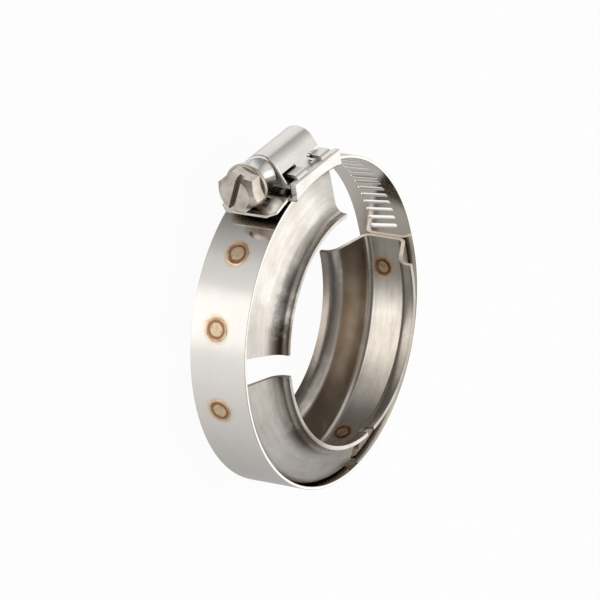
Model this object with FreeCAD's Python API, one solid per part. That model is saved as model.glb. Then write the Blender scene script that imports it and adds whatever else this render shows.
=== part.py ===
import FreeCAD, Part
import math
import os

# Flange clamp: a band with three V-section retainers inside it, closed by a worm screw.
# The clamp axis is Z. The housing sits on top of the ring, at +Y, with its screw along X
# and the screw head towards -X. Angles run anticlockwise from +X.

V = FreeCAD.Vector

# band
BAND_OUTER_R = 33.0
BAND_WIDTH = 12.7
BAND_T = 0.6
FIXED_END_ANGLE = 78.0
TONGUE_START_ANGLE = 367.0
TONGUE_LEAVES_SLIDE_X = -7.2
TONGUE_END_LENGTH = 8.9
TONGUE_CHAMFER_LENGTH = 1.6
TONGUE_CHAMFER_WIDTH = 1.7

# slots in the tongue, cut to the lead of the worm
SLOT_LENGTH = 6.6
SLOT_WIDTH = 1.05
SLOT_FIRST_MARGIN = 1.6
SLOT_END_MARGIN = 2.6

# V-section retainers, spot-welded inside the band
RETAINER_T = 0.8
WELD_GAP = 0.02
RETAINER_SPANS = {
    "retainer_upper_left": (83.0, 166.0),
    "retainer_lower": (176.5, 271.0),
    "retainer_right": (276.5, 367.0),
}
BASE_HALF_WIDTH = 3.2
LEG_ANGLE = 24.0
LEG_LENGTH = 5.33
ROOT_BEND_R = 1.6
LIP_BEND_R = 3.0
LIP_LENGTH = 0.5
HOUSING_END_BASE_ANGLE = 76.0

# spot-weld marks: a pressed ring on both faces of each weld, at (angle, z)
WELDS = {
    "retainer_upper_left": ((129.5, 0.4), (156.5, -0.6)),
    "retainer_lower": ((186.0, -0.7), (261.0, -0.8)),
    "retainer_right": ((287.0, -1.4), (354.5, -1.1)),
}
WELD_OUTER_R = 1.9
WELD_INNER_R = 1.3
WELD_DEPTH = 0.12

# worm screw
SCREW_PITCH = 2.1
WORM_R = 3.0
THREAD_DEPTH = 0.8
THREAD_TIP = 0.5
THREAD_FLANK_ANGLE = 20.0
THREAD_SHIFT = 0.8
WORM_FRONT_X = -7.6
WORM_LENGTH = 11.0
WORM_ENGAGEMENT = 0.5
NECK_R = 1.7
COLLAR_R = 4.6
COLLAR_T = 1.1
COLLAR_FRONT_X = -14.7
HEX_ACROSS_FLATS = 8.0
HEX_LENGTH = 4.0
HEX_TURN = 52.0
HEX_CHAMFER = 0.7
DRIVER_SLOT_WIDTH = 1.2
DRIVER_SLOT_DEPTH = 1.6
DRIVER_SLOT_TURN = 22.0
TAIL_R = 1.6
TAIL_LENGTH = 1.2

# saddle: channel around the band's fixed end, with folded tabs
SADDLE_T = 0.7
SADDLE_FRONT_X = -8.8
SADDLE_REAR_X = 8.0
SIDE_T = 1.2
SIDE_CLEARANCE = 0.2
SIDE_TOP_ABOVE_FOOT = 0.45
SIDE_EDGE_R = 0.45
SLIDE_CLEARANCE = 0.1
TAB_WIDTH = 3.6
TAB_X = (-5.2, 4.0)
TAB_T = 0.7
TAB_REACH = 1.9

# housing cap: arch over the worm, foot flanges between the side walls
CAP_T = 0.7
CAP_CLEARANCE = 0.25
CAP_FRONT_X = -8.7
CAP_REAR_X = 5.6
FOOT_LIFT = 0.15
FOOT_SPREAD = 1.9
NECK_CLEARANCE = 0.2
NECK_END_X = -13.1
NECK_SWEEP_R = 6.0
NECK_SWEEP_ANGLE = 27.0
FRONT_EDGE_R = 0.6
WINDOW_EXTRA_FRONT = 1.2
WINDOW_HEIGHT = 1.9
WINDOW_CLEARANCE = 0.15

# sizes that follow from the ones above
band_inner_r = BAND_OUTER_R - BAND_T
retainer_outer_r = band_inner_r - WELD_GAP
half_width = BAND_WIDTH / 2
saddle_inner_r = BAND_OUTER_R + WELD_GAP
saddle_outer_r = saddle_inner_r + SADDLE_T
slide_r = saddle_outer_r + SLIDE_CLEARANCE + BAND_T
screw_y = slide_r - WORM_ENGAGEMENT + WORM_R
side_inner_z = half_width + SIDE_CLEARANCE
side_outer_z = side_inner_z + SIDE_T
foot_y = slide_r + FOOT_LIFT
foot_top_y = foot_y + CAP_T
side_top_y = foot_top_y + SIDE_TOP_ABOVE_FOOT
cap_inner_r = WORM_R + CAP_CLEARANCE
cap_outer_r = cap_inner_r + CAP_T
neck_inner_r = NECK_R + NECK_CLEARANCE
slot_slant = math.degrees(math.atan(SCREW_PITCH / (2 * math.pi * (WORM_R - WORM_ENGAGEMENT))))


def polar(radius, angle, z=0.0):
    a = math.radians(angle)
    return V(radius * math.cos(a), radius * math.sin(a), z)


def arc_between(radius, a0, a1, centre=V(0, 0, 0)):
    middle = (a0 + a1) / 2
    return Part.Arc(
        centre + polar(radius, a0), centre + polar(radius, middle), centre + polar(radius, a1)
    ).toShape()


def line(p, q):
    return Part.LineSegment(p, q).toShape()


def face_of(edges):
    return Part.Face(Part.Wire(Part.__sortEdges__(edges)))


# The tongue leaves the ring straight, bends back on the lead arc, follows the saddle's slide
# on an arc about the clamp axis, and runs out straight under the screw head.
slide_rear_angle = math.degrees(math.acos(SADDLE_REAR_X / slide_r))
slide_front_angle = math.degrees(math.acos(TONGUE_LEAVES_SLIDE_X / slide_r))
lead_span = 360.0 + slide_rear_angle - TONGUE_START_ANGLE
lead_secant = 1 / math.cos(math.radians(lead_span))
lead_r = (lead_secant * BAND_OUTER_R - slide_r) / (lead_secant - 1)
lead_straight = (BAND_OUTER_R - lead_r) * math.tan(math.radians(lead_span))
lead_centre = polar(slide_r - lead_r, slide_rear_angle)
lead_arc_length = lead_r * math.radians(lead_span)
slide_length = slide_r * math.radians(slide_front_angle - slide_rear_angle)
tongue_length = lead_straight + lead_arc_length + slide_length + TONGUE_END_LENGTH


def along_tongue(distance, depth=0.0):
    """Point on the tongue, this far below its outer face, and the angle square to that face."""
    if distance < lead_straight:
        along = polar(1, TONGUE_START_ANGLE + 90) * distance
        return polar(BAND_OUTER_R - depth, TONGUE_START_ANGLE) + along, TONGUE_START_ANGLE
    distance -= lead_straight
    if distance < lead_arc_length:
        angle = TONGUE_START_ANGLE + math.degrees(distance / lead_r)
        return lead_centre + polar(lead_r - depth, angle), angle
    distance -= lead_arc_length
    if distance < slide_length:
        angle = slide_rear_angle + math.degrees(distance / slide_r)
        return polar(slide_r - depth, angle), angle
    distance -= slide_length
    along = polar(1, slide_front_angle + 90) * distance
    return polar(slide_r - depth, slide_front_angle) + along, slide_front_angle


def stadium(length, width, depth):
    """Round-ended slot along Z, square to X, centred on the origin."""
    r = width / 2
    h = length / 2 - r
    edges = [
        line(V(0, r, -h), V(0, r, h)),
        Part.Arc(V(0, r, h), V(0, 0, h + r), V(0, -r, h)).toShape(),
        line(V(0, -r, h), V(0, -r, -h)),
        Part.Arc(V(0, -r, -h), V(0, 0, -h - r), V(0, r, -h)).toShape(),
    ]
    slot = face_of(edges).extrude(V(depth, 0, 0))
    slot.translate(V(-depth / 2, 0, 0))
    return slot


def weld_ring(angle, z, radius, depth):
    """Ring tool that leaves the pressed mark of a spot weld at this radius."""
    ring = Part.makeCylinder(WELD_OUTER_R, depth, V(0, 0, 0), V(1, 0, 0))
    ring = ring.cut(Part.makeCylinder(WELD_INNER_R, depth, V(0, 0, 0), V(1, 0, 0)))
    ring.translate(V(radius, 0, z))
    ring.rotate(V(0, 0, 0), V(0, 0, 1), angle)
    return ring


def slot_positions():
    """Slots in mesh with the worm, whose crest passes through one of them at worm_phase_x."""
    at_top = lead_straight + lead_arc_length + slide_r * math.radians(90 - slide_rear_angle)
    at_worm = at_top - slide_r * math.asin(worm_phase_x / slide_r)
    first = SLOT_FIRST_MARGIN + (at_worm - SLOT_FIRST_MARGIN) % SCREW_PITCH
    count = int((tongue_length - SLOT_END_MARGIN - first) / SCREW_PITCH) + 1
    return [first + i * SCREW_PITCH for i in range(count)]


def build_band():
    free_end, end_angle = along_tongue(tongue_length)
    edges = [
        line(polar(band_inner_r, FIXED_END_ANGLE), polar(BAND_OUTER_R, FIXED_END_ANGLE)),
        line(free_end, along_tongue(tongue_length, BAND_T)[0]),
    ]
    for depth in (0, BAND_T):
        stops = [0, lead_straight, lead_straight + lead_arc_length, tongue_length - TONGUE_END_LENGTH]
        knots = [along_tongue(stop, depth)[0] for stop in stops]
        edges += [
            arc_between(BAND_OUTER_R - depth, FIXED_END_ANGLE, TONGUE_START_ANGLE),
            line(knots[0], knots[1]),
            arc_between(lead_r - depth, TONGUE_START_ANGLE, 360 + slide_rear_angle, lead_centre),
            arc_between(slide_r - depth, slide_rear_angle, slide_front_angle),
            line(knots[3], along_tongue(tongue_length, depth)[0]),
        ]
    outline = face_of(edges)
    band = outline.extrude(V(0, 0, BAND_WIDTH))
    band.translate(V(0, 0, -half_width))

    cuts = []
    for distance in slot_positions():
        point, angle = along_tongue(distance)
        slot = stadium(SLOT_LENGTH, SLOT_WIDTH, 4 * BAND_T)
        slot.rotate(V(0, 0, 0), V(1, 0, 0), -slot_slant)
        slot.rotate(V(0, 0, 0), V(0, 0, 1), angle)
        slot.translate(point)
        cuts.append(slot)
    for side in (-1, 1):
        corner = Part.Face(Part.makePolygon([
            V(0, 0, side * half_width),
            V(0, -TONGUE_CHAMFER_LENGTH, side * half_width),
            V(0, 0, side * (half_width - TONGUE_CHAMFER_WIDTH)),
            V(0, 0, side * half_width),
        ])).extrude(V(4 * BAND_T, 0, 0))
        corner.translate(V(-2 * BAND_T, 0, 0))
        corner.rotate(V(0, 0, 0), V(0, 0, 1), end_angle)
        corner.translate(free_end)
        cuts.append(corner)
    for welds in WELDS.values():
        for angle, z in welds:
            cuts.append(weld_ring(angle, z, BAND_OUTER_R - WELD_DEPTH, 1.0))
    return band.cut(Part.makeCompound(cuts))


def half_section(side):
    """Edges of one half of the retainer's V section, in the XZ plane, on the +X side."""
    edges = []
    position = V(retainer_outer_r - RETAINER_T / 2, 0, 0)
    heading = 90.0
    half_t = RETAINER_T / 2

    def offset(point, angle, amount):
        a = math.radians(angle)
        return point + V(math.sin(a), 0, -math.cos(a)) * amount

    def straight(length):
        nonlocal position
        a = math.radians(heading)
        end = position + V(math.cos(a), 0, math.sin(a)) * length
        for amount in (half_t, -half_t):
            edges.append(line(offset(position, heading, amount), offset(end, heading, amount)))
        position = end

    def bend(inner_r, angle):
        nonlocal position, heading
        turn = 1 if angle > 0 else -1
        radius = inner_r + half_t
        centre = offset(position, heading, -turn * radius)
        for amount in (half_t, -half_t):
            arc_r = turn * radius + amount
            points = [offset(centre, heading + angle * k / 2, arc_r) for k in (0, 1, 2)]
            edges.append(Part.Arc(*points).toShape())
        heading += angle
        position = offset(centre, heading, turn * radius)

    straight(BASE_HALF_WIDTH)
    bend(ROOT_BEND_R, 90.0 - LEG_ANGLE)
    straight(LEG_LENGTH)
    bend(LIP_BEND_R, -(90.0 - LEG_ANGLE))
    straight(LIP_LENGTH)
    edges.append(line(offset(position, heading, half_t), offset(position, heading, -half_t)))
    if side > 0:
        return edges
    return [e.mirror(V(0, 0, 0), V(0, 0, 1)) for e in edges]


def build_retainer(name):
    a0, a1 = RETAINER_SPANS[name]
    under_housing = name == "retainer_upper_left"
    start = HOUSING_END_BASE_ANGLE if under_housing else a0
    section = face_of(half_section(1) + half_section(-1))
    retainer = section.revolve(V(0, 0, 0), V(0, 0, 1), a1 - start)
    retainer.rotate(V(0, 0, 0), V(0, 0, 1), start)
    marks = []
    if under_housing:
        # this end is cut on a slant, so that its base reaches on under the housing
        lip_r = min(v.Point.x for e in half_section(1) for v in e.Vertexes)
        height = 2 * retainer_outer_r
        trim = Part.Face(Part.makePolygon([
            polar(lip_r * 0.8, a0 + 2, -height / 2),
            polar(lip_r, a0, -height / 2),
            polar(retainer_outer_r, start, -height / 2),
            polar(retainer_outer_r * 1.2, start - 2, -height / 2),
            polar(retainer_outer_r * 1.2, start - 30, -height / 2),
            polar(lip_r * 0.8, start - 30, -height / 2),
            polar(lip_r * 0.8, a0 + 2, -height / 2),
        ]))
        marks.append(trim.extrude(V(0, 0, height)))
    for angle, z in WELDS[name]:
        marks.append(weld_ring(angle, z, retainer_outer_r - RETAINER_T - 1.0, 1.0 + WELD_DEPTH))
    return retainer.cut(Part.makeCompound(marks))


# The worm's thread: its crest meets the tongue straight below the axis at worm_phase_x.
worm_root_r = WORM_R - THREAD_DEPTH
thread_foot = THREAD_TIP + 2 * THREAD_DEPTH * math.tan(math.radians(THREAD_FLANK_ANGLE))
thread_start_x = WORM_FRONT_X + SCREW_PITCH / 2 + THREAD_SHIFT
thread_turns = (WORM_LENGTH - SCREW_PITCH - THREAD_SHIFT) / SCREW_PITCH
worm_phase_x = thread_start_x + 3 * SCREW_PITCH


def build_worm_screw():
    collar_rear_x = COLLAR_FRONT_X + COLLAR_T
    hex_front_x = COLLAR_FRONT_X - HEX_LENGTH
    worm_rear_x = WORM_FRONT_X + WORM_LENGTH
    along = V(1, 0, 0)

    corner_r = HEX_ACROSS_FLATS / math.sqrt(3)
    corners = []
    for i in range(7):
        a = math.radians(HEX_TURN + 60 * i)
        corners.append(V(hex_front_x, corner_r * math.cos(a), corner_r * math.sin(a)))
    head = Part.Face(Part.makePolygon(corners)).extrude(V(HEX_LENGTH, 0, 0))
    crown = Part.makeCone(
        HEX_ACROSS_FLATS / 2 - HEX_CHAMFER, corner_r * 1.4, HEX_LENGTH * 0.8, V(hex_front_x, 0, 0), along
    )
    crown = crown.fuse(
        Part.makeCylinder(corner_r * 1.4, HEX_LENGTH, V(hex_front_x + HEX_LENGTH * 0.8, 0, 0), along)
    )
    head = head.common(crown)
    slot = Part.makeBox(DRIVER_SLOT_DEPTH + 1, 4 * corner_r, DRIVER_SLOT_WIDTH)
    slot.translate(V(hex_front_x - 1, -2 * corner_r, -DRIVER_SLOT_WIDTH / 2))
    slot.rotate(V(0, 0, 0), along, DRIVER_SLOT_TURN)
    head = head.cut(slot)

    collar = Part.makeCylinder(COLLAR_R, COLLAR_T, V(COLLAR_FRONT_X, 0, 0), along)
    rims = [e for e in collar.Edges if e.Curve.TypeId == "Part::GeomCircle"]
    collar = collar.makeFillet(COLLAR_T * 0.3, rims)
    neck = Part.makeCylinder(NECK_R, WORM_FRONT_X - collar_rear_x, V(collar_rear_x, 0, 0), along)
    core = Part.makeCylinder(worm_root_r, WORM_LENGTH, V(WORM_FRONT_X, 0, 0), along)
    tail = Part.makeCone(TAIL_R, TAIL_R * 0.8, TAIL_LENGTH, V(worm_rear_x, 0, 0), along)

    # trapezoid thread swept along a right-hand helix, rooted a little inside the core
    sink = 0.15
    foot = thread_foot / 2 + sink * math.tan(math.radians(THREAD_FLANK_ANGLE))
    profile = Part.makePolygon([
        V(worm_root_r - sink, 0, -foot),
        V(WORM_R, 0, -THREAD_TIP / 2),
        V(WORM_R, 0, THREAD_TIP / 2),
        V(worm_root_r - sink, 0, foot),
        V(worm_root_r - sink, 0, -foot),
    ])
    helix = Part.makeHelix(SCREW_PITCH, thread_turns * SCREW_PITCH, WORM_R)
    sweep = Part.BRepOffsetAPI.MakePipeShell(Part.Wire(helix.Edges))
    sweep.setFrenetMode(True)
    sweep.add(profile)
    sweep.build()
    sweep.makeSolid()
    thread = sweep.shape()
    # Z becomes X, and the start of the thread turns to face the tongue
    thread.rotate(V(0, 0, 0), V(0, 1, 0), 90)
    thread.rotate(V(0, 0, 0), along, -90)
    thread.translate(V(thread_start_x, 0, 0))

    screw = head.fuse([collar, neck, core, tail, thread]).removeSplitter()
    screw.translate(V(0, screw_y, 0))
    return screw


def build_saddle():
    length = SADDLE_REAR_X - SADDLE_FRONT_X

    def block(y0, y1, z0, z1):
        box = Part.makeBox(length, y1 - y0, z1 - z0)
        box.translate(V(SADDLE_FRONT_X, y0, z0))
        return box

    def tube_space(radius, z0, z1):
        return Part.makeCylinder(radius, z1 - z0, V(0, 0, z0), V(0, 0, 1))

    plate = block(0, saddle_outer_r, -side_outer_z, side_outer_z)
    plate = plate.common(tube_space(saddle_outer_r, -side_outer_z, side_outer_z))
    plate = plate.cut(tube_space(saddle_inner_r, -side_outer_z, side_outer_z))
    walls = []
    tabs = []
    for side in (-1, 1):
        z0, z1 = sorted((side * side_inner_z, side * side_outer_z))
        wall = block(0, side_top_y, z0, z1).cut(tube_space(saddle_inner_r, z0, z1))
        walls.append(wall)
        for x in TAB_X:
            tabs.append(folded_tab(x, side))
    saddle = plate.fuse(walls).removeSplitter()
    outer = []
    for e in saddle.Edges:
        box = e.BoundBox
        on_outside = abs(abs(e.CenterOfMass.z) - side_outer_z) < 1e-6
        if on_outside and box.XLength > TAB_WIDTH / 2:
            outer.append(e)
    return saddle.makeFillet(SIDE_EDGE_R, outer).fuse(tabs).removeSplitter()


def folded_tab(x, side):
    """Tab bent from the side wall, over the foot flange and into its window."""
    bend_r = 0.25
    rise = bend_r + TAB_T
    z_bend = side_inner_z - bend_r
    z_outside = side_inner_z + TAB_T
    tip_z = z_bend - TAB_REACH
    y = side_top_y
    root = y - 0.3
    edges = [
        line(V(x, root, side_inner_z), V(x, y, side_inner_z)),
        Part.Arc(
            V(x, y, side_inner_z),
            V(x, y + bend_r * math.sin(math.pi / 4), z_bend + bend_r * math.cos(math.pi / 4)),
            V(x, y + bend_r, z_bend),
        ).toShape(),
        line(V(x, y + bend_r, z_bend), V(x, y + bend_r, tip_z)),
        line(V(x, y + bend_r, tip_z), V(x, y + rise, tip_z)),
        line(V(x, y + rise, tip_z), V(x, y + rise, z_bend)),
        Part.Arc(
            V(x, y + rise, z_bend),
            V(x, y + rise * math.sin(math.pi / 4), z_bend + rise * math.cos(math.pi / 4)),
            V(x, y, z_outside),
        ).toShape(),
        line(V(x, y, z_outside), V(x, root, z_outside)),
        line(V(x, root, z_outside), V(x, root, side_inner_z)),
    ]
    tab = face_of(edges).extrude(V(TAB_WIDTH, 0, 0))
    tab.translate(V(-TAB_WIDTH / 2, 0, 0))
    if side < 0:
        tab = tab.mirror(V(0, 0, 0), V(0, 0, 1))
    return tab


def arch_face(x, radius, foot_z, base_y):
    """Arch section at x: a round crown and sides that spread to the foot."""
    drop = screw_y - base_y
    tangent = math.acos(radius / math.hypot(foot_z, drop)) - math.atan2(drop, foot_z)
    side_z = radius * math.cos(tangent)
    side_y = screw_y + radius * math.sin(tangent)
    right = V(x, side_y, side_z)
    left = V(x, side_y, -side_z)
    edges = [
        Part.Arc(right, V(x, screw_y + radius, 0), left).toShape(),
        line(left, V(x, base_y, -foot_z)),
        line(V(x, base_y, -foot_z), V(x, base_y, foot_z)),
        line(V(x, base_y, foot_z), right),
    ]
    return face_of(edges)


def build_housing_cap():
    along = V(1, 0, 0)
    dome_length = CAP_REAR_X - CAP_FRONT_X
    inner_foot_z = cap_inner_r + FOOT_SPREAD
    outer_foot_z = cap_outer_r + FOOT_SPREAD
    outer = arch_face(CAP_FRONT_X, cap_outer_r, outer_foot_z, foot_y).extrude(V(dome_length, 0, 0))
    front = [e for e in outer.Edges if abs(e.BoundBox.XMax - CAP_FRONT_X) < 1e-6]
    crown = [e for e in front if e.BoundBox.YMax > foot_top_y]
    outer = outer.makeFillet(FRONT_EDGE_R, crown)

    # necked front: a tube round the screw's neck that sweeps out to meet the arch
    def neck_body(radius, sweep_r, rear_x, front_x):
        sweep = math.radians(NECK_SWEEP_ANGLE)
        start_x = CAP_FRONT_X - sweep_r * math.sin(sweep)
        rim_r = radius + sweep_r * (1 - math.cos(sweep))
        middle = V(start_x + sweep_r * math.sin(sweep / 2), radius + sweep_r * (1 - math.cos(sweep / 2)), 0)
        body = face_of([
            line(V(front_x, 0, 0), V(front_x, radius, 0)),
            line(V(front_x, radius, 0), V(start_x, radius, 0)),
            Part.Arc(V(start_x, radius, 0), middle, V(CAP_FRONT_X, rim_r, 0)).toShape(),
            line(V(CAP_FRONT_X, rim_r, 0), V(rear_x, rim_r, 0)),
            line(V(rear_x, rim_r, 0), V(rear_x, 0, 0)),
            line(V(rear_x, 0, 0), V(front_x, 0, 0)),
        ]).revolve(V(0, 0, 0), along, 360)
        body.translate(V(0, screw_y, 0))
        return body

    neck = neck_body(neck_inner_r + CAP_T, NECK_SWEEP_R, CAP_FRONT_X + CAP_T, NECK_END_X)

    foot = Part.makeBox(
        SADDLE_REAR_X - SADDLE_FRONT_X, CAP_T, 2 * (side_inner_z - WINDOW_CLEARANCE)
    )
    foot.translate(V(SADDLE_FRONT_X, foot_y, -(side_inner_z - WINDOW_CLEARANCE)))
    cap = outer.fuse([neck, foot])

    # hollow for the worm, open at the rear and below, and the bore of the neck
    hollow = arch_face(CAP_FRONT_X + CAP_T, cap_inner_r, inner_foot_z, foot_y)
    hollow = hollow.extrude(V(2 * dome_length, 0, 0))
    bore = neck_body(neck_inner_r, NECK_SWEEP_R + CAP_T, CAP_FRONT_X + 2 * CAP_T, NECK_END_X - CAP_T)
    below = Part.makeBox(2 * (SADDLE_REAR_X - NECK_END_X), screw_y, 2 * BAND_WIDTH)
    below.translate(V(2 * NECK_END_X, foot_y - screw_y, -BAND_WIDTH))
    cap = cap.cut([hollow, bore, below])

    # windows that the saddle's tabs reach into
    windows = []
    for side in (-1, 1):
        for x in TAB_X:
            front = x - TAB_WIDTH / 2 - WINDOW_EXTRA_FRONT
            rear = x + TAB_WIDTH / 2 + WINDOW_CLEARANCE
            near_z = cap_inner_r
            far_z = side_inner_z - WINDOW_CLEARANCE * 2
            window = Part.makeBox(rear - front, WINDOW_HEIGHT, far_z - near_z)
            window.translate(V(front, foot_top_y, near_z if side > 0 else -far_z))
            windows.append(window)
    return cap.cut(windows).removeSplitter()


os.makedirs("parts", exist_ok=True)
nodes = {
    "band": build_band(),
    "saddle": build_saddle(),
    "housing_cap": build_housing_cap(),
    "worm_screw": build_worm_screw(),
}
for name in RETAINER_SPANS:
    nodes[name] = build_retainer(name)
for name, shape in nodes.items():
    shape.exportStep(os.path.join("parts", name + ".step"))
    print(name, "solids", len(shape.Solids), "valid", shape.isValid(), "volume", round(shape.Volume, 1))
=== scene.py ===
import math

import bmesh
import bpy
from mathutils import Matrix, Vector


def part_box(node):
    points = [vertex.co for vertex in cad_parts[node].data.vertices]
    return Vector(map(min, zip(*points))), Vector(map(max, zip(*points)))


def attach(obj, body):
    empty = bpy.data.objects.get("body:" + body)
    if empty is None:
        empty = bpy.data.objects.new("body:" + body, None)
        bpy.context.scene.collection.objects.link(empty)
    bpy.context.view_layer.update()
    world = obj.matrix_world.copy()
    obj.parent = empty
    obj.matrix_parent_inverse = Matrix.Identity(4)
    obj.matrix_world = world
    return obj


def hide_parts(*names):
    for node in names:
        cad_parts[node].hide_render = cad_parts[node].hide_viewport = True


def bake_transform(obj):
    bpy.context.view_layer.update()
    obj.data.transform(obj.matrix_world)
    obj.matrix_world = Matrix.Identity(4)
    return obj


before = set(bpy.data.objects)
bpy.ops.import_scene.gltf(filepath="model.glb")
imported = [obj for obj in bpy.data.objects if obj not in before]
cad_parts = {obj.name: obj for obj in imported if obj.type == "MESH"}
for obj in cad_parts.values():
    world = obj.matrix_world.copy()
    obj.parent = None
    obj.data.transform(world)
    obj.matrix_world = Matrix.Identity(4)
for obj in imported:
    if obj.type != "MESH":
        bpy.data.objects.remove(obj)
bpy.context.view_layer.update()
print("frame loaded:", sorted(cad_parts))

mm = 0.001


def linkObject(name, data):
    obj = bpy.data.objects.new(name, data)
    bpy.context.scene.collection.objects.link(obj)
    return obj


def polar(radius, angle, z=0.0):
    a = math.radians(angle)
    return Vector((radius * math.cos(a), radius * math.sin(a), z))


# one node tree, with short calls for the nodes that the finishes, the floor and the sky share
class Wiring:
    def __init__(self, tree):
        tree.nodes.clear()
        self.tree = tree

    def node(self, kind):
        return self.tree.nodes.new(kind)

    def feed(self, socket, value):
        if isinstance(value, bpy.types.NodeSocket):
            self.tree.links.new(value, socket)
        elif isinstance(value, tuple):
            socket.default_value = (*value, 1.0)
        else:
            socket.default_value = value

    def maths(self, operation, *values, clamp=False):
        node = self.node("ShaderNodeMath")
        node.operation = operation
        node.use_clamp = clamp
        for socket, value in zip(node.inputs, values):
            self.feed(socket, value)
        return node.outputs[0]

    def product(self, first, *others):
        for other in others:
            first = self.maths("MULTIPLY", first, other)
        return first

    def vectorMaths(self, operation, first, second):
        node = self.node("ShaderNodeVectorMath")
        node.operation = operation
        self.feed(node.inputs[0], first)
        self.feed(node.inputs[1], second)
        return node.outputs["Value"]

    def split(self, vector):
        node = self.node("ShaderNodeSeparateXYZ")
        self.feed(node.inputs[0], vector)
        return node.outputs

    def combine(self, *parts):
        node = self.node("ShaderNodeCombineXYZ")
        for socket, part in zip(node.inputs, parts):
            self.feed(socket, part)
        return node.outputs[0]

    def length(self, x, y):
        return self.maths("SQRT", self.maths("ADD", self.product(x, x), self.product(y, y)))

    def turn(self, angle):
        return self.maths("FRACT", self.maths("DIVIDE", angle, 2 * math.pi))

    def spread(self, value, start, end, low=0.0, high=1.0):
        node = self.node("ShaderNodeMapRange")
        node.inputs["From Min"].default_value = start
        node.inputs["From Max"].default_value = end
        node.inputs["To Min"].default_value = low
        node.inputs["To Max"].default_value = high
        self.feed(node.inputs["Value"], value)
        return node.outputs[0]

    def noise(self, vector, scale, detail=3.0, roughness=0.5):
        node = self.node("ShaderNodeTexNoise")
        node.inputs["Scale"].default_value = scale
        node.inputs["Detail"].default_value = detail
        node.inputs["Roughness"].default_value = roughness
        self.feed(node.inputs["Vector"], vector)
        return node.outputs["Fac"]

    def mixColour(self, share, first, second):
        node = self.node("ShaderNodeMix")
        node.data_type = "RGBA"
        for place, value in ((0, share), (6, first), (7, second)):
            self.feed(node.inputs[place], value)
        return node.outputs[2]

    def ramp(self, value, stops, interpolation="LINEAR"):
        node = self.node("ShaderNodeValToRGB")
        node.color_ramp.interpolation = interpolation
        elements = node.color_ramp.elements
        while len(elements) < len(stops):
            elements.new(0.5)
        for element, (place, colour) in zip(elements, stops):
            element.position = place
            element.color = colour
        self.feed(node.inputs[0], value)
        return node.outputs


def headingStops(levels):
    return [(heading / 360, (level, level, level, 1)) for heading, level in levels]


# spot welds as (angle, z), the same for the raised prints and for the heat tint round them
weldSpots = [(129.5, 0.4), (156.5, -0.6), (186.0, -0.7), (261.0, -0.8), (287.0, -1.4), (354.5, -1.1)]

# steel finishes: what they share, then each one's own look, painted shade in folds and recesses included
steel = {
    "cloudDetail": 4.0, "cloudRoughness": 0.6, "cloudEdges": (0.35, 0.7),
    "grainDetail": 4.0, "grainRoughness": 0.65, "grainEdges": (0.3, 0.75),
    "cloudInRough": 0.6, "grainInRough": 0.4,
    "foldSamples": 8, "foldPower": 1.6,
    "dimpleScale": 260, "dimpleShare": 0.8, "bumpHeight": 0.05 * mm,
    "patchDetail": 6.0, "patchRoughness": 0.7,
    "wobbleScale": 900, "wobbleDetail": 2.0, "wobble": 0.6 * mm,
    "scorchScale": 1300, "scorchDetail": 4.0, "scorchRoughness": 0.7,
}
# colour and strength of the heat tint from a weld's middle outwards
weldTint = [
    (0.0, (0.62, 0.46, 0.28, 0.85)),
    (0.32, (0.70, 0.50, 0.28, 0.85)),
    (0.39, (0.26, 0.11, 0.045, 0.95)),
    (0.46, (0.32, 0.14, 0.05, 0.92)),
    (0.53, (0.76, 0.42, 0.16, 0.7)),
    (0.62, (0.84, 0.58, 0.30, 0.4)),
    (0.76, (0.86, 0.72, 0.52, 0.0)),
]
bandLook = {
    "colour": (0.86, 0.83, 0.79), "dull": (0.80, 0.765, 0.715), "dark": (0.50, 0.45, 0.39),
    "cloudScale": 55, "grainWay": "ring", "grainPull": (0.004, 1.0, 1.0),
    "grainScale": 1500, "grainDark": 0.08, "rough": (0.10, 0.2), "bump": 0.1,
    "foldReach": 4, "foldShadeShare": 0.82, "foldShadeColour": (0.10, 0.07, 0.05),
    "weldR": 33.0, "tintReach": 4.8, "weldRough": 0.2,
    "weldMottle": 0.75, "scorch": (0.26, 0.14, 0.055), "scorchEdges": (0.50, 0.68),
}
retainerLook = {
    "colour": (0.82, 0.80, 0.77), "dull": (0.66, 0.62, 0.57), "dark": (0.34, 0.28, 0.22),
    "cloudScale": 110, "grainWay": "ring", "grainPull": (0.004, 1.0, 1.0),
    "grainScale": 1100, "grainDark": 0.35, "rough": (0.16, 0.34), "bump": 0.25,
    "foldReach": 3.2, "foldShadeShare": 0.85, "foldShadeColour": (0.115, 0.072, 0.042),
    "weldR": 31.58, "tintReach": 4.2, "weldRough": 0.2,
    "weldMottle": 0.8, "scorch": (0.24, 0.13, 0.05), "scorchEdges": (0.46, 0.64),
    # painted shade inside the V groove: its colour, patches, facing and radii
    "groove": (0.46, 0.395, 0.33), "grooveEdges": (0.28, 0.55), "grooveFacing": -0.3,
    "grooveStart": (24.8, 25.8), "grooveEnd": (31.4, 30.8),
    # painted dark reflections along the bend behind the lip: radius, reach, patches, colour and the angles
    # round the ring where they show
    "bendR": 24.6, "bendReach": 2.8, "patchEdges": (0.32, 0.48), "patchScale": 95,
    "lipReflectionDark": (0.11, 0.075, 0.05),
    "stretches": [
        (0, 0.5), (60, 0.3), (100, 0.1), (115, 0.35), (128, 0.5), (145, 0.85), (155, 1.0), (172, 1.0),
        (180, 0.5), (200, 0.6), (212, 0.95), (222, 0.9), (236, 0.2), (262, 0.1), (300, 0.6), (360, 0.5),
    ],
}
housingLook = {
    "colour": (0.84, 0.82, 0.79), "dull": (0.76, 0.735, 0.70), "dark": (0.42, 0.38, 0.34),
    "cloudScale": 120, "grainWay": "straight", "grainPull": (0.25, 1.0, 1.0),
    "grainScale": 900, "grainDark": 0.16, "rough": (0.2, 0.34), "bump": 0.3,
    "foldReach": 2.5, "foldShadeShare": 0.82, "foldShadeColour": (0.12, 0.10, 0.08),
}
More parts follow.
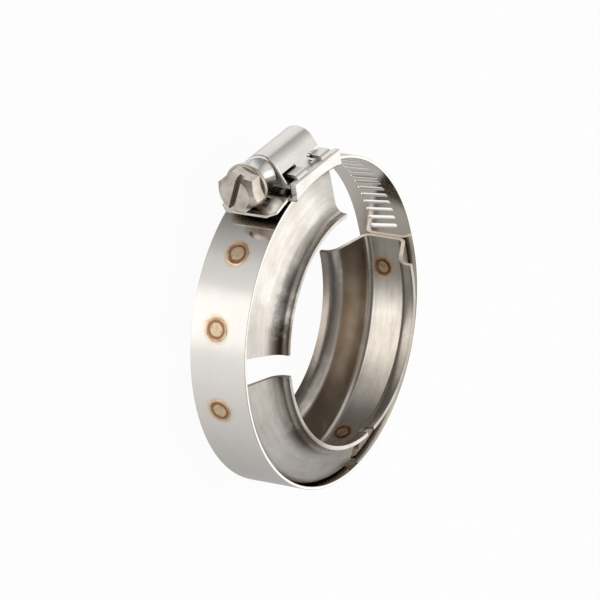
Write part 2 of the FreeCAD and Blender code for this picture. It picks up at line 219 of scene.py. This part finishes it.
screwLook = {
    "colour": (0.76, 0.71, 0.645), "dull": (0.46, 0.39, 0.31), "dark": (0.30, 0.225, 0.155),
    "cloudScale": 260, "grainWay": "straight", "grainPull": (1.0, 0.2, 0.2),
    "grainScale": 900, "grainDark": 0.3, "rough": (0.2, 0.36), "bump": 0.4,
    "foldReach": 2.0, "foldShadeShare": 0.82, "foldShadeColour": (0.13, 0.10, 0.07),
}


# places in the clamp's own frame, also as angle and radius round its axis
def clampPlaces(wiring):
    place = wiring.node("ShaderNodeTexCoord").outputs["Object"]
    x, y, z = wiring.split(place)
    angle = wiring.maths("ARCTAN2", y, x)
    return {"place": place, "x": x, "y": y, "z": z, "angle": angle, "radius": wiring.length(x, y)}


# grain lines of the rolled strip, which follow the ring or lie straight
def grainLines(wiring, look, at):
    ways = ("angle", "radius", "z") if look["grainWay"] == "ring" else ("x", "y", "z")
    parts = [wiring.product(at[way], pull) for way, pull in zip(ways, look["grainPull"])]
    return wiring.noise(wiring.combine(*parts), look["grainScale"],
                        steel["grainDetail"], steel["grainRoughness"])


# painted shade, brown in cloudy patches, on the retainer leg faces inside the V groove that look towards the
# clamp axis
def grooveInwardShade(wiring, look, at, cloud, colour):
    normal = wiring.node("ShaderNodeNewGeometry").outputs["Normal"]
    outward = wiring.vectorMaths("DOT_PRODUCT", normal, wiring.combine(at["x"], at["y"]))
    inward = wiring.spread(wiring.maths("DIVIDE", outward, at["radius"]), 0.0, look["grooveFacing"])
    legStart = wiring.spread(at["radius"], look["grooveStart"][0] * mm, look["grooveStart"][1] * mm)
    legEnd = wiring.spread(at["radius"], look["grooveEnd"][0] * mm, look["grooveEnd"][1] * mm)
    inwardShaded = wiring.product(inward, legStart, legEnd, wiring.spread(cloud, *look["grooveEdges"]))
    return wiring.mixColour(inwardShaded, colour, look["groove"])


# painted dark reflections: patchy dark brown along the bend behind the lip, at the angles round the ring set
# by the stretches
def lipDarkReflections(wiring, look, at, colour):
    fromBend = wiring.maths("ABSOLUTE", wiring.maths("SUBTRACT", at["radius"], look["bendR"] * mm))
    atBend = wiring.spread(fromBend, look["bendReach"] * mm, 0.0)
    patches = wiring.noise(at["place"], look["patchScale"], steel["patchDetail"], steel["patchRoughness"])
    stretch = wiring.ramp(wiring.turn(at["angle"]), headingStops(look["stretches"]))["Color"]
    darkReflected = wiring.product(atBend, wiring.spread(patches, *look["patchEdges"]), stretch)
    return wiring.mixColour(darkReflected, colour, look["lipReflectionDark"])


# heat tint round each spot weld, scorched in patches
def weldHeat(wiring, look, at, colour):
    nearest = None
    for angle, z in weldSpots:
        away = wiring.vectorMaths("DISTANCE", at["place"], polar(look["weldR"] * mm, angle, z * mm))
        nearest = away if nearest is None else wiring.maths("MINIMUM", nearest, away)
    uneven = wiring.noise(at["place"], steel["wobbleScale"], steel["wobbleDetail"])
    uneven = wiring.product(uneven, steel["wobble"])
    reached = wiring.maths("DIVIDE", wiring.maths("ADD", nearest, uneven), look["tintReach"] * mm)
    tint = wiring.ramp(reached, weldTint, "EASE")
    speckle = wiring.noise(at["place"], steel["scorchScale"], steel["scorchDetail"], steel["scorchRoughness"])
    scorch = wiring.product(wiring.spread(speckle, *look["scorchEdges"]), look["weldMottle"])
    burnt = wiring.mixColour(scorch, tint["Color"], look["scorch"])
    return wiring.mixColour(tint["Alpha"], colour, burnt), tint["Alpha"]


# painted shade: colour darkened towards dark brown in folds, joints and recesses, by ambient occlusion
def foldShade(wiring, look, colour):
    fold = wiring.node("ShaderNodeAmbientOcclusion")
    fold.samples = steel["foldSamples"]
    fold.inputs["Distance"].default_value = look["foldReach"] * mm
    closed = wiring.maths("POWER", wiring.maths("SUBTRACT", 1.0, fold.outputs["AO"]), steel["foldPower"])
    return wiring.mixColour(wiring.product(closed, look["foldShadeShare"]), colour, look["foldShadeColour"])


def steelMaterial(name, look):
    material = bpy.data.materials.new(name)
    material.use_nodes = True
    wiring = Wiring(material.node_tree)
    at = clampPlaces(wiring)
    cloud = wiring.noise(at["place"], look["cloudScale"], steel["cloudDetail"], steel["cloudRoughness"])
    lines = grainLines(wiring, look, at)
    colour = wiring.mixColour(wiring.spread(cloud, *steel["cloudEdges"]), look["colour"], look["dull"])
    darkLines = wiring.spread(lines, *steel["grainEdges"], high=look["grainDark"])
    colour = wiring.mixColour(darkLines, colour, look["dark"])
    roughness = wiring.maths("ADD", wiring.product(cloud, steel["cloudInRough"]),
                             wiring.product(lines, steel["grainInRough"]))
    roughness = wiring.spread(roughness, 0.0, 1.0, *look["rough"])
    if "groove" in look:
        colour = grooveInwardShade(wiring, look, at, cloud, colour)
        colour = lipDarkReflections(wiring, look, at, colour)
    if "weldR" in look:
        colour, heated = weldHeat(wiring, look, at, colour)
        roughness = wiring.maths("ADD", roughness, wiring.product(heated, look["weldRough"]))
    colour = foldShade(wiring, look, colour)

    bump = wiring.node("ShaderNodeBump")
    bump.inputs["Strength"].default_value = look["bump"]
    bump.inputs["Distance"].default_value = steel["bumpHeight"]
    dimples = wiring.product(wiring.noise(at["place"], steel["dimpleScale"]), steel["dimpleShare"])
    wiring.feed(bump.inputs["Height"], wiring.maths("ADD", lines, dimples))

    shader = wiring.node("ShaderNodeBsdfPrincipled")
    shader.inputs["Metallic"].default_value = 1.0
    wiring.feed(shader.inputs["Base Color"], colour)
    wiring.feed(shader.inputs["Roughness"], roughness)
    wiring.feed(shader.inputs["Normal"], bump.outputs[0])
    wiring.feed(wiring.node("ShaderNodeOutputMaterial").inputs[0], shader.outputs[0])
    return material


bandSteel = steelMaterial("band_steel", bandLook)
retainerSteel = steelMaterial("retainer_steel", retainerLook)
housingSteel = steelMaterial("housing_steel", housingLook)
screwSteel = steelMaterial("screw_steel", screwLook)
print("steel finishes made")

# band: one strip laid out flat, cut, and wound round the ring and over the saddle
band = {
    "outerR": 33.0, "thickness": 0.6, "width": 12.7,
    "fixedEnd": 78.0, "tongueStart": 367.0, "split": 300.0,
    "slideR": 34.42, "slideRearX": 8.0, "slideEndX": -7.2, "endLength": 8.9,
    "chamferLength": 1.6, "chamferWidth": 1.7,
    "slotLength": 6.6, "slotWidth": 0.85, "slotPitch": 2.1, "slotSlant": 7.61,
    "slotFirst": 2.507, "slotEndMargin": 2.6, "slotEndSteps": 10,
    "edgeRound": 0.09, "stepDegrees": 1.0, "sharpDegrees": 21,
    "meetOverrun": 0.5, "meetStep": 0.04, "sameVertex": 1e-5, "onCut": 1e-6,
    "bendAngle": 273.75, "bendWay": (1, -0.2, 0), "bendReach": 2.6,
}
slideRear = math.degrees(math.acos(band["slideRearX"] / band["slideR"]))
slideEnd = math.degrees(math.acos(band["slideEndX"] / band["slideR"]))
leadSpan = 360.0 + slideRear - band["tongueStart"]
leadSecant = 1 / math.cos(math.radians(leadSpan))
leadR = (leadSecant * band["outerR"] - band["slideR"]) / (leadSecant - 1)
leadStraight = (band["outerR"] - leadR) * math.tan(math.radians(leadSpan))
leadCentre = polar(band["slideR"] - leadR, slideRear)
leadLength = leadR * math.radians(leadSpan)
slideLength = band["slideR"] * math.radians(slideEnd - slideRear)
ringLength = band["outerR"] * math.radians(band["tongueStart"])


# point at the length s along the strip, measured on its outer face from angle 0
def alongBand(s, depth):
    if s < ringLength:
        return polar(band["outerR"] - depth, math.degrees(s / band["outerR"]))
    s -= ringLength
    if s < leadStraight:
        return polar(band["outerR"] - depth, band["tongueStart"]) + polar(1, band["tongueStart"] + 90) * s
    s -= leadStraight
    if s < leadLength:
        return leadCentre + polar(leadR - depth, band["tongueStart"] + math.degrees(s / leadR))
    s -= leadLength
    if s < slideLength:
        return polar(band["slideR"] - depth, slideRear + math.degrees(s / band["slideR"]))
    s -= slideLength
    return polar(band["slideR"] - depth, slideEnd) + polar(1, slideEnd + 90) * s


def flatStrip(outline, holes):
    curve = bpy.data.curves.new("strip", "CURVE")
    curve.dimensions = "2D"
    curve.fill_mode = "BOTH"
    for loop in [outline] + holes:
        spline = curve.splines.new("POLY")
        spline.points.add(len(loop) - 1)
        for point, (s, z) in zip(spline.points, loop):
            point.co = (s, z, 0, 1)
        spline.use_cyclic_u = True
    curve.extrude = band["thickness"] / 2 - band["edgeRound"]
    curve.bevel_depth = band["edgeRound"]
    curve.bevel_resolution = 1
    curve.offset = -band["edgeRound"]
    flat = linkObject("strip", curve)
    bpy.context.view_layer.update()
    mesh = bpy.data.meshes.new_from_object(flat)
    bpy.data.objects.remove(flat)
    bpy.data.curves.remove(curve)
    return mesh


def cutStrip(bm, s, away=1, clear=False):
    geometry = bm.verts[:] + bm.edges[:] + bm.faces[:]
    bmesh.ops.bisect_plane(bm, geom=geometry, dist=band["onCut"], plane_co=(s, 0, 0), plane_no=(away, 0, 0),
                           clear_outer=clear)


# opens the flat strip where the two parts meet, cuts it into narrow facets and winds them up
def windStrip(mesh, low, high, meetAt):
    step = band["outerR"] * math.radians(band["stepDegrees"])
    bm = bmesh.new()
    bm.from_mesh(mesh)
    bmesh.ops.remove_doubles(bm, verts=bm.verts, dist=band["sameVertex"])
    away = 1 if meetAt > (low + high) / 2 else -1
    cutStrip(bm, meetAt, away, clear=True)
    cutStrip(bm, meetAt - away * band["meetStep"])
    s = meetAt - away * step
    while low < s < high:
        cutStrip(bm, s)
        s -= away * step
    for vertex in bm.verts:
        s, z, lift = vertex.co
        point = alongBand(s, band["thickness"] / 2 - lift)
        vertex.co = Vector((point.x, point.y, z)) * mm
    bmesh.ops.recalc_face_normals(bm, faces=bm.faces)
    bm.to_mesh(mesh)
    bm.free()


def slotLoop(s):
    steps = band["slotEndSteps"]
    radius = band["slotWidth"] / 2
    reach = band["slotLength"] / 2 - radius
    slant = math.radians(band["slotSlant"])
    loop = []
    for end in (1, -1):
        for i in range(steps + 1):
            a = math.pi * i / steps
            across, along = end * radius * math.cos(a), end * (reach + radius * math.sin(a))
            loop.append((s + across * math.cos(slant) + along * math.sin(slant),
                         along * math.cos(slant) - across * math.sin(slant)))
    return loop


# raised print of a welding tip on the band's outer face, as (radius, height) from its middle outwards
weldPrint = {
    "profile": [(0.5, 0.070), (1.0, 0.075), (1.45, 0.060), (1.75, 0.015), (1.95, 0.030),
                (2.15, 0.085), (2.35, 0.060), (2.55, -0.030)],
    "middle": 0.065, "segments": 40, "unevenness": 0.05,
}


def onBand(spot, across, along, height):
    angle, z = spot
    return polar(band["outerR"] + height, angle + math.degrees(across / band["outerR"]), z + along) * mm


def pressWelds(mesh, low, high):
    bm = bmesh.new()
    bm.from_mesh(mesh)
    count = weldPrint["segments"]
    for spot in weldSpots:
        if not low < spot[0] < high:
            continue
        rings = []
        for radius, height in weldPrint["profile"]:
            ring = []
            for i in range(count):
                a = 2 * math.pi * i / count
                wave = 1 + weldPrint["unevenness"] * math.sin(2 * a + spot[0]) * math.cos(3 * a + radius)
                across, along = radius * wave * math.cos(a), radius * wave * math.sin(a)
                ring.append(bm.verts.new(onBand(spot, across, along, height)))
            rings.append(ring)
        middle = bm.verts.new(onBand(spot, 0, 0, weldPrint["middle"]))
        for i in range(count):
            k = (i + 1) % count
            bm.faces.new((middle, rings[0][i], rings[0][k]))
            for inner, outer in zip(rings, rings[1:]):
                bm.faces.new((inner[i], outer[i], outer[k], inner[k]))
    bm.to_mesh(mesh)
    bm.free()


def bandPart(name, outline, slots, lengths, angles):
    mesh = flatStrip(outline, slots)
    windStrip(mesh, *lengths, meetAt=splitS)
    pressWelds(mesh, *angles)
    mesh.shade_smooth()
    mesh.set_sharp_from_angle(angle=math.radians(band["sharpDegrees"]))
    mesh.materials.append(bandSteel)
    piece = linkObject(name, mesh)
    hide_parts("band")
    return piece


halfWidth = band["width"] / 2
fixedS = band["outerR"] * math.radians(band["fixedEnd"])
splitS = band["outerR"] * math.radians(band["split"])
endS = ringLength + leadStraight + leadLength + slideLength + band["endLength"]

ringEndS = splitS + band["meetOverrun"]
ringOutline = [(fixedS, -halfWidth), (ringEndS, -halfWidth), (ringEndS, halfWidth), (fixedS, halfWidth)]
ringBand = bandPart("band_ring", ringOutline, [], (fixedS, splitS), (band["fixedEnd"], band["split"]))

tongueS = splitS - band["meetOverrun"]
chamferS = endS - band["chamferLength"]
tipHalf = halfWidth - band["chamferWidth"]
tongueOutline = [(tongueS, -halfWidth), (chamferS, -halfWidth), (endS, -tipHalf),
                 (endS, tipHalf), (chamferS, halfWidth), (tongueS, halfWidth)]
slots = []
slotS = ringLength + band["slotFirst"]
while slotS < endS - band["slotEndMargin"]:
    slots.append(slotLoop(slotS))
    slotS += band["slotPitch"]
tongueBand = bandPart("band_tongue", tongueOutline, slots, (splitS, endS),
                      (band["split"], band["tongueStart"]))

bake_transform(ringBand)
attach(tongueBand, "tongue_side")
print("band wound:", len(slots), "slots")

finishes = {
    "saddle": housingSteel, "housing_cap": housingSteel, "worm_screw": screwSteel,
    "retainer_upper_left": retainerSteel, "retainer_lower": retainerSteel, "retainer_right": retainerSteel,
}
for node, finish in finishes.items():
    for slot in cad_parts[node].material_slots:
        slot.material = finish
print("frame pieces finished")

# floor: plain and pale to the camera; for mirrored rays it glows with a painted reflection, its brightness
# set by heading in degrees from +X, past the ring and inside it, tinted warm inside
floorLook = {
    "halfSize": 3, "colour": (0.92, 0.92, 0.92), "glowShare": 0.95, "insideR": 26, "outsideR": 34,
    "insideReflectionTint": (1.0, 0.96, 0.90),
    "outside": [
        (0, 0.85), (30, 1.05), (45, 1.00), (58, 0.60), (80, 0.25), (91, 0.34), (100, 0.46), (108, 0.56),
        (115, 0.72), (127, 0.80), (134, 0.88), (139, 1.18), (144, 1.30), (169, 1.30), (175, 1.20),
        (180, 0.99), (187, 0.92), (204, 0.82), (220, 0.71), (243, 0.62), (259, 0.54), (276, 0.48),
        (293, 0.45), (315, 0.45), (335, 0.55), (360, 0.85),
    ],
    "inside": [
        (0, 0.60), (30, 0.30), (43, 0.12), (80, 0.12), (91, 0.16), (103, 0.44), (115, 0.78), (127, 1.10),
        (139, 1.50), (165, 1.50), (175, 0.98), (187, 0.42), (199, 0.32), (240, 0.40), (300, 0.56),
        (360, 0.60),
    ],
}


def floorMaterial():
    material = bpy.data.materials.new("floor")
    material.use_nodes = True
    wiring = Wiring(material.node_tree)
    geometry = wiring.node("ShaderNodeNewGeometry").outputs
    backX, backY = wiring.split(geometry["Incoming"])[:2]
    turn = wiring.turn(wiring.maths("ARCTAN2", wiring.product(backY, -1.0), wiring.product(backX, -1.0)))
    reach = wiring.length(*wiring.split(geometry["Position"])[:2])
    past = wiring.maths("DIVIDE", wiring.maths("SUBTRACT", reach, floorLook["insideR"] * mm),
                        (floorLook["outsideR"] - floorLook["insideR"]) * mm, clamp=True)
    # painted reflection levels by heading, past the ring and inside it
    outside = wiring.ramp(turn, headingStops(floorLook["outside"]))["Color"]
    inside = wiring.ramp(turn, headingStops(floorLook["inside"]))["Color"]
    mirrored = wiring.maths("MULTIPLY_ADD", wiring.maths("SUBTRACT", outside, inside), past, inside)
    rays = wiring.node("ShaderNodeLightPath").outputs
    seen = wiring.maths("ADD", rays["Is Camera Ray"], rays["Is Transmission Ray"], clamp=True)
    shown = wiring.maths("ADD", seen, rays["Is Glossy Ray"], clamp=True)

    diffuse = wiring.node("ShaderNodeBsdfDiffuse")
    wiring.feed(diffuse.inputs[0], floorLook["colour"])
    glow = wiring.node("ShaderNodeEmission")
    untinted = wiring.maths("MAXIMUM", past, seen)
    wiring.feed(glow.inputs[0], wiring.mixColour(untinted, floorLook["insideReflectionTint"], (1.0, 1.0, 1.0)))
    belowWhite = wiring.maths("SUBTRACT", 1.0, mirrored)
    wiring.feed(glow.inputs[1], wiring.maths("MULTIPLY_ADD", belowWhite, seen, mirrored))
    mix = wiring.node("ShaderNodeMixShader")
    wiring.feed(mix.inputs[0], wiring.product(shown, floorLook["glowShare"]))
    wiring.feed(mix.inputs[1], diffuse.outputs[0])
    wiring.feed(mix.inputs[2], glow.outputs[0])
    wiring.feed(wiring.node("ShaderNodeOutputMaterial").inputs[0], mix.outputs[0])
    return material


half = floorLook["halfSize"]
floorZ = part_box("retainer_lower")[0].z
floorMesh = bpy.data.meshes.new("floor")
corners = [(-half, -half, floorZ), (half, -half, floorZ), (half, half, floorZ), (-half, half, floorZ)]
floorMesh.from_pydata(corners, [], [(0, 1, 2, 3)])
floorMesh.materials.append(floorMaterial())
floor = linkObject("floor", floorMesh)

# soft square lamps, each on its way from the object and turned towards it
lamps = {
    "overhead": {"way": (0.42, 0.07, 0.90), "distance": 1.1, "size": 0.9, "power": 1.2},
    "side": {"way": (0.74, -0.44, 0.51), "distance": 1.2, "size": 0.5, "power": 0.5},
    "front": {"way": (-0.50, -0.70, 0.50), "distance": 1.2, "size": 0.8, "power": 0.8},
    "back": {"way": (0.10, 0.85, 0.52), "distance": 1.2, "size": 0.8, "power": 0.4},
}
for name, lamp in lamps.items():
    light = bpy.data.lights.new(name, "AREA")
    light.shape = "SQUARE"
    light.size = lamp["size"]
    light.energy = lamp["power"]
    way = Vector(lamp["way"]).normalized()
    stand = linkObject(name, light)
    stand.location = way * lamp["distance"]
    stand.rotation_euler = way.to_track_quat("Z", "Y").to_euler()

# sky: brightest over the far side, fading with the angle from there
skyLook = {
    "brightest": (0.42, 0.05, 0.90), "tint": (1.0, 0.985, 0.965),
    "fade": [
        (-1.0, 0.08), (0.0, 0.15), (0.2, 0.24), (0.35, 0.36), (0.5, 0.46), (0.65, 0.58), (0.75, 0.72),
        (0.85, 0.82), (0.9, 0.90), (0.95, 0.98), (1.0, 1.02),
    ],
}


def studioSky():
    world = bpy.data.worlds.new("studio")
    world.use_nodes = True
    wiring = Wiring(world.node_tree)
    way = wiring.node("ShaderNodeTexCoord").outputs["Generated"]
    towards = wiring.vectorMaths("DOT_PRODUCT", way, Vector(skyLook["brightest"]).normalized())
    stops = [((1 + cosine) / 2, (*(level * share for share in skyLook["tint"]), 1))
             for cosine, level in skyLook["fade"]]
    background = wiring.node("ShaderNodeBackground")
    wiring.feed(background.inputs[0], wiring.ramp(wiring.spread(towards, -1.0, 1.0), stops)["Color"])
    wiring.feed(wiring.node("ShaderNodeOutputWorld").inputs[0], background.outputs[0])
    return world


bpy.context.scene.world = studioSky()

# camera at the photograph's angle: degrees, then millimetres from the clamp's centre
view = {
    "elevation": 30.739, "azimuth": 30.901, "roll": -7.774, "distance": 999.76,
    "shiftRight": 1.426, "shiftUp": -4.353, "lens": 300, "sensor": 36, "clipStart": 10,
}
elevation, azimuth, roll = (math.radians(view[turned]) for turned in ("elevation", "azimuth", "roll"))
towards = Vector((-math.cos(elevation) * math.cos(azimuth), math.cos(elevation) * math.sin(azimuth),
                  math.sin(elevation)))
level = (-towards).cross(Vector((0, 1, 0))).normalized()
upright = level.cross(-towards)
right = level * math.cos(roll) + upright * math.sin(roll)
up = upright * math.cos(roll) - level * math.sin(roll)
place = (towards * view["distance"] - right * view["shiftRight"] - up * view["shiftUp"]) * mm
cameraData = bpy.data.cameras.new("camera")
cameraData.lens = view["lens"]
cameraData.sensor_width = view["sensor"]
cameraData.clip_start = view["clipStart"] * mm
camera = linkObject("camera", cameraData)
camera.matrix_world = Matrix.Translation(place) @ Matrix((right, up, towards)).transposed().to_4x4()
bpy.context.scene.camera = camera
bpy.context.scene.view_settings.view_transform = "Standard"
print("floor, light and camera set")
